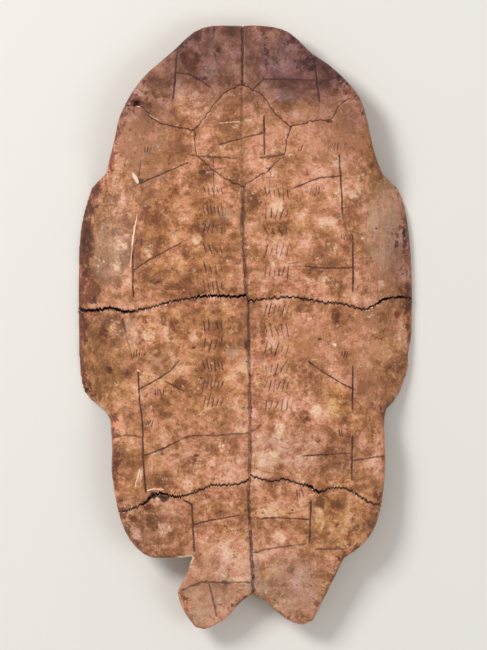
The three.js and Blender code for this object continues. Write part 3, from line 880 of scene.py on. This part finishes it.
def aged_bone():
    material = bpy.data.materials.new("aged_bone")
    material.use_nodes = True
    tree = material.node_tree
    tree.nodes.clear()
    places = Field(tree, None).add("ShaderNodeTexCoord", output="Object")

    def layer(name):
        return places.add("ShaderNodeAttribute", {"attribute_name": name}, output="Fac")

    broad = places.noise(34, detail=2, roughness=0.5, shift=3)
    mottle = places.noise(12, detail=5, roughness=0.8, shift=7)
    hue = places.noise(7, detail=4, roughness=0.8, shift=29)
    spots = places.noise(2.6, detail=3, roughness=0.7, shift=13)
    flakes = places.noise(3.4, detail=4, roughness=0.75, shift=41)
    blots = places.noise(5, detail=4, roughness=0.65, shift=71)
    specks = places.noise(0.9, detail=2, roughness=0.6, shift=17)
    grain = places.noise(0.5, detail=3, roughness=0.6, stretch=(1, 2.5, 1))

    # the lighter ground includes a painted sheen on the left wing
    tone = 4.4 * mottle + 1.0 * broad - 2.27 + 0.25 * layer("pale") - 0.3 * layer("brown")
    tone = tone + 0.22 * blots.rise(0.46, 0.53)
    ragged = 2.0 * (hue - 0.5) + 1.5 * (spots - 0.5)
    light = (layer("cream") + ragged).rise(0.4, 0.6)
    heavy = (layer("umber") - ragged).rise(0.42, 0.62)
    tone = tone + 0.38 * light - 0.42 * heavy
    tone = tone - layer("calm") * (tone - 0.5)
    colour = tone.rise(-0.25, 0.2).between(umber, brown)
    colour = tone.rise(0.24, 0.4).between(colour, tan)
    colour = tone.rise(0.54, 0.68).between(colour, rose_tan)
    colour = tone.rise(0.8, 1.1).between(colour, pale_rose)
    colour = (hue.rise(0.52, 0.57) * 0.6).between(colour, ochre_glaze, "MULTIPLY")
    colour = (hue.rise(0.48, 0.43) * 0.6).between(colour, rose_glaze, "MULTIPLY")
    colour = layer("ochre").between(colour, ochre_glaze, "MULTIPLY")
    streaks = places.noise(3, detail=4, roughness=0.7, stretch=(1, 4, 1), shift=53)
    shade = layer("shade") * (0.6 + 0.8 * streaks)
    veil_and_sheen = layer("grey") * (0.3 + 0.6 * streaks.rise(0.4, 0.6))
    # a grey veil, and on the left wing a painted sheen where it turns down
    colour = veil_and_sheen.between(colour, lilac_grey)
    colour = shade.between(colour, shade_glaze, "MULTIPLY")
    colour = layer("dim").between(colour, dim_glaze, "MULTIPLY")
    colour = (spots.rise(0.6, 0.68) * 0.66).between(colour, spot_brown)
    bright = flakes + 0.06 * layer("pale") + 0.13 * layer("cream") - 0.1 * layer("shade")
    colour = (bright.rise(0.58, 0.76) * 0.8).between(colour, cream)
    # painted shade and a redder stain: darker within a few millimetres of the rim, where the plate
    # turns down
    rim = layer("rim") * (0.3 + 0.7 * layer("edge")) + 4 * (hue - 0.5) + 1.5 * (spots - 0.5)
    colour = (rim.rise(0.45, 0.9) * 0.85).between(colour, rim_stain_and_shade_glaze, "MULTIPLY")
    red = layer("rust") * (6 * flakes - 2)
    colour = (red.rise(0.42, 0.85) * 0.9).between(colour, brick_glaze, "MULTIPLY")
    dark = layer("plum") * (6 * spots - 2)
    colour = (dark.rise(0.45, 0.85) * 0.9).between(colour, plum_glaze, "MULTIPLY")
    colour = (specks.rise(0.62, 0.38) * 0.22).between(colour, spot_brown, "MULTIPLY")
    colour = (specks.rise(0.66, 0.74) * 0.5).between(colour, spot_brown)
    colour = (layer("inner") * (0.55 + 0.3 * mottle)).between(colour, inner_tan)
    burnt = (layer("scorch") * (0.7 + 0.6 * spots)).rise(0.25, 0.9)
    colour = burnt.between(colour, soot)
    colour = (layer("soil") * (0.3 + 1.2 * spots)).between(colour, soil_brown)
    # painted shade: near-black in the gaps of the open sutures
    colour = layer("gap").between(colour, gap_black)
    # chalk: fresh pale bone, and partly painted highlight along crack and suture edges
    bare_and_highlight = layer("chalk") + 0.8 * (spots - 0.5)
    colour = bare_and_highlight.rise(0.25, 0.7).between(colour, chalk_white)

    relief = grain * 0.4 + specks * 0.6
    bumps = {"Height": relief, "Strength": 0.2, "Distance": 0.1 * mm}
    normal = places.add("ShaderNodeBump", inputs=bumps)
    shader = {
        "Base Color": colour,
        "Roughness": 0.42 + 0.2 * specks + 0.3 * layer("soil"),
        "Normal": normal,
        "Specular IOR Level": 0.45,
    }
    surface = places.add("ShaderNodeBsdfPrincipled", inputs=shader)
    places.add("ShaderNodeOutputMaterial", inputs={"Surface": surface})
    return material


bone_material = aged_bone()
for node in sorted(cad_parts):
    mesh = bone(node)
    mesh.materials.clear()
    mesh.materials.append(bone_material)
    piece = bpy.data.objects.new(node + "_bone", mesh)
    bpy.context.scene.collection.objects.link(piece)
    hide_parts(node)
    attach(piece, "root")

# The floor is plain pale paper, and the light is soft: a wide lamp up to the left, a weaker one
# to the right and an even glow from all round.
floor_grid = bmesh.new()
bmesh.ops.create_grid(floor_grid, x_segments=1, y_segments=1, size=3.0)
floor_mesh = bpy.data.meshes.new("floor")
floor_grid.to_mesh(floor_mesh)
floor_grid.free()
floor = bpy.data.objects.new("floor", floor_mesh)
floor.location.z = plate_low.z
bpy.context.scene.collection.objects.link(floor)
floor_paint = bpy.data.materials.new("pale_paper")
floor_paint.use_nodes = True
floor_shader = floor_paint.node_tree.nodes["Principled BSDF"]
floor_shader.inputs["Base Color"].default_value = display(232, 229, 223)
floor_shader.inputs["Roughness"].default_value = 0.8
floor_mesh.materials.append(floor_paint)


def lamp(name, place, size, power):
    """A square lamp that faces the plate."""
    data = bpy.data.lights.new(name, "AREA")
    data.size = size
    data.energy = power
    light = bpy.data.objects.new(name, data)
    light.location = place
    light.rotation_euler = (-Vector(place)).to_track_quat("-Z", "Y").to_euler()
    bpy.context.scene.collection.objects.link(light)


lamp("key_light", (-0.9, 0.7, 1.0), size=0.5, power=16)
lamp("fill_light", (1.0, -0.4, 1.1), size=0.8, power=5)
world = bpy.data.worlds.new("studio")
world.use_nodes = True
world.node_tree.nodes["Background"].inputs["Color"].default_value = (1.0, 0.98, 0.95, 1.0)
world.node_tree.nodes["Background"].inputs["Strength"].default_value = 0.45
bpy.context.scene.world = world
bpy.context.scene.view_settings.view_transform = "Standard"
